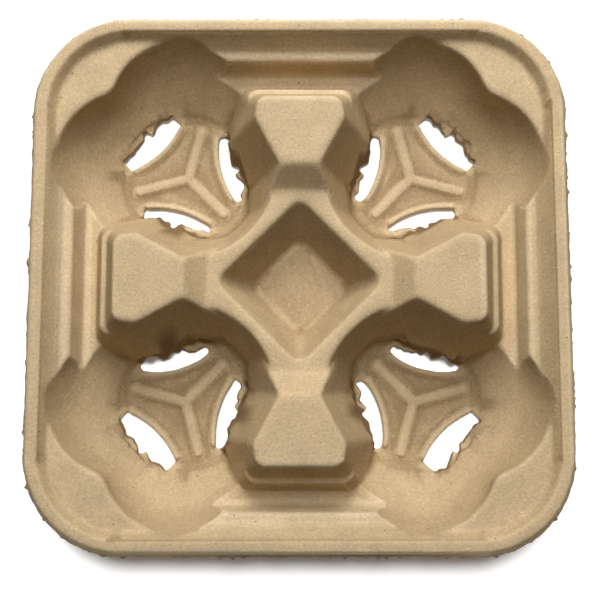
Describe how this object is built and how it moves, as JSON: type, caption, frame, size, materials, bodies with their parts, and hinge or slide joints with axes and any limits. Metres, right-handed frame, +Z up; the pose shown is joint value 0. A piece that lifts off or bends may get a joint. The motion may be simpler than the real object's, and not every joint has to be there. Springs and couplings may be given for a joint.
{
  "type": "cardboard cup carrier",
  "caption": "Square moulded-pulp tray with a conical cup well in each corner, raised posts between the wells, a pocket in the middle and a turned-down rim.",
  "frame": {"origin": "middle of the tray in plan, at the level of the undersides of the well floors", "axes": "+Z up out of the wells, +X and +Y along the sides of the square tray, +Y towards the top of the picture"},
  "size_m": [0.216, 0.216, 0.039],
  "materials": {
    "pulp": "matte tan moulded paper pulp with fine fibres and specks"
  },
  "bodies": {
    "root": {"cup_carrier": "pulp"}
  },
  "joints": []
}
